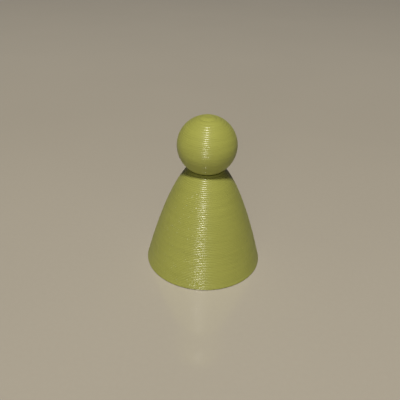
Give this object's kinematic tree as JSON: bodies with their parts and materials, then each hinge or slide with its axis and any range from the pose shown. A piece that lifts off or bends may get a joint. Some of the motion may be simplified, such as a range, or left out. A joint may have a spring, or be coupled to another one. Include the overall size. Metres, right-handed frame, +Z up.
{
  "type": "game pawn",
  "caption": "Game pawn printed in layers, with a ball head pinched onto a body that widens to a flat round base, for marking a place on a board.",
  "frame": {"origin": "centre of the flat base, on the surface the pawn stands on", "axes": "+Z up along the pawn's axis, from the base to the crown; the pawn is round, so X and Y are free, and the sparse fill's sheets run at 45 degrees to them"},
  "size_m": [0.018, 0.018, 0.024],
  "materials": {
    "printed_plastic": "satin olive green printed plastic with fine layer lines"
  },
  "bodies": {
    "root": {"base_skin": "printed_plastic", "body_outer_wall": "printed_plastic", "body_inner_wall": "printed_plastic", "body_infill": "printed_plastic", "neck_core": "printed_plastic", "head_outer_wall": "printed_plastic", "head_inner_wall": "printed_plastic", "head_infill": "printed_plastic", "crown_skin": "printed_plastic"}
  },
  "joints": []
}
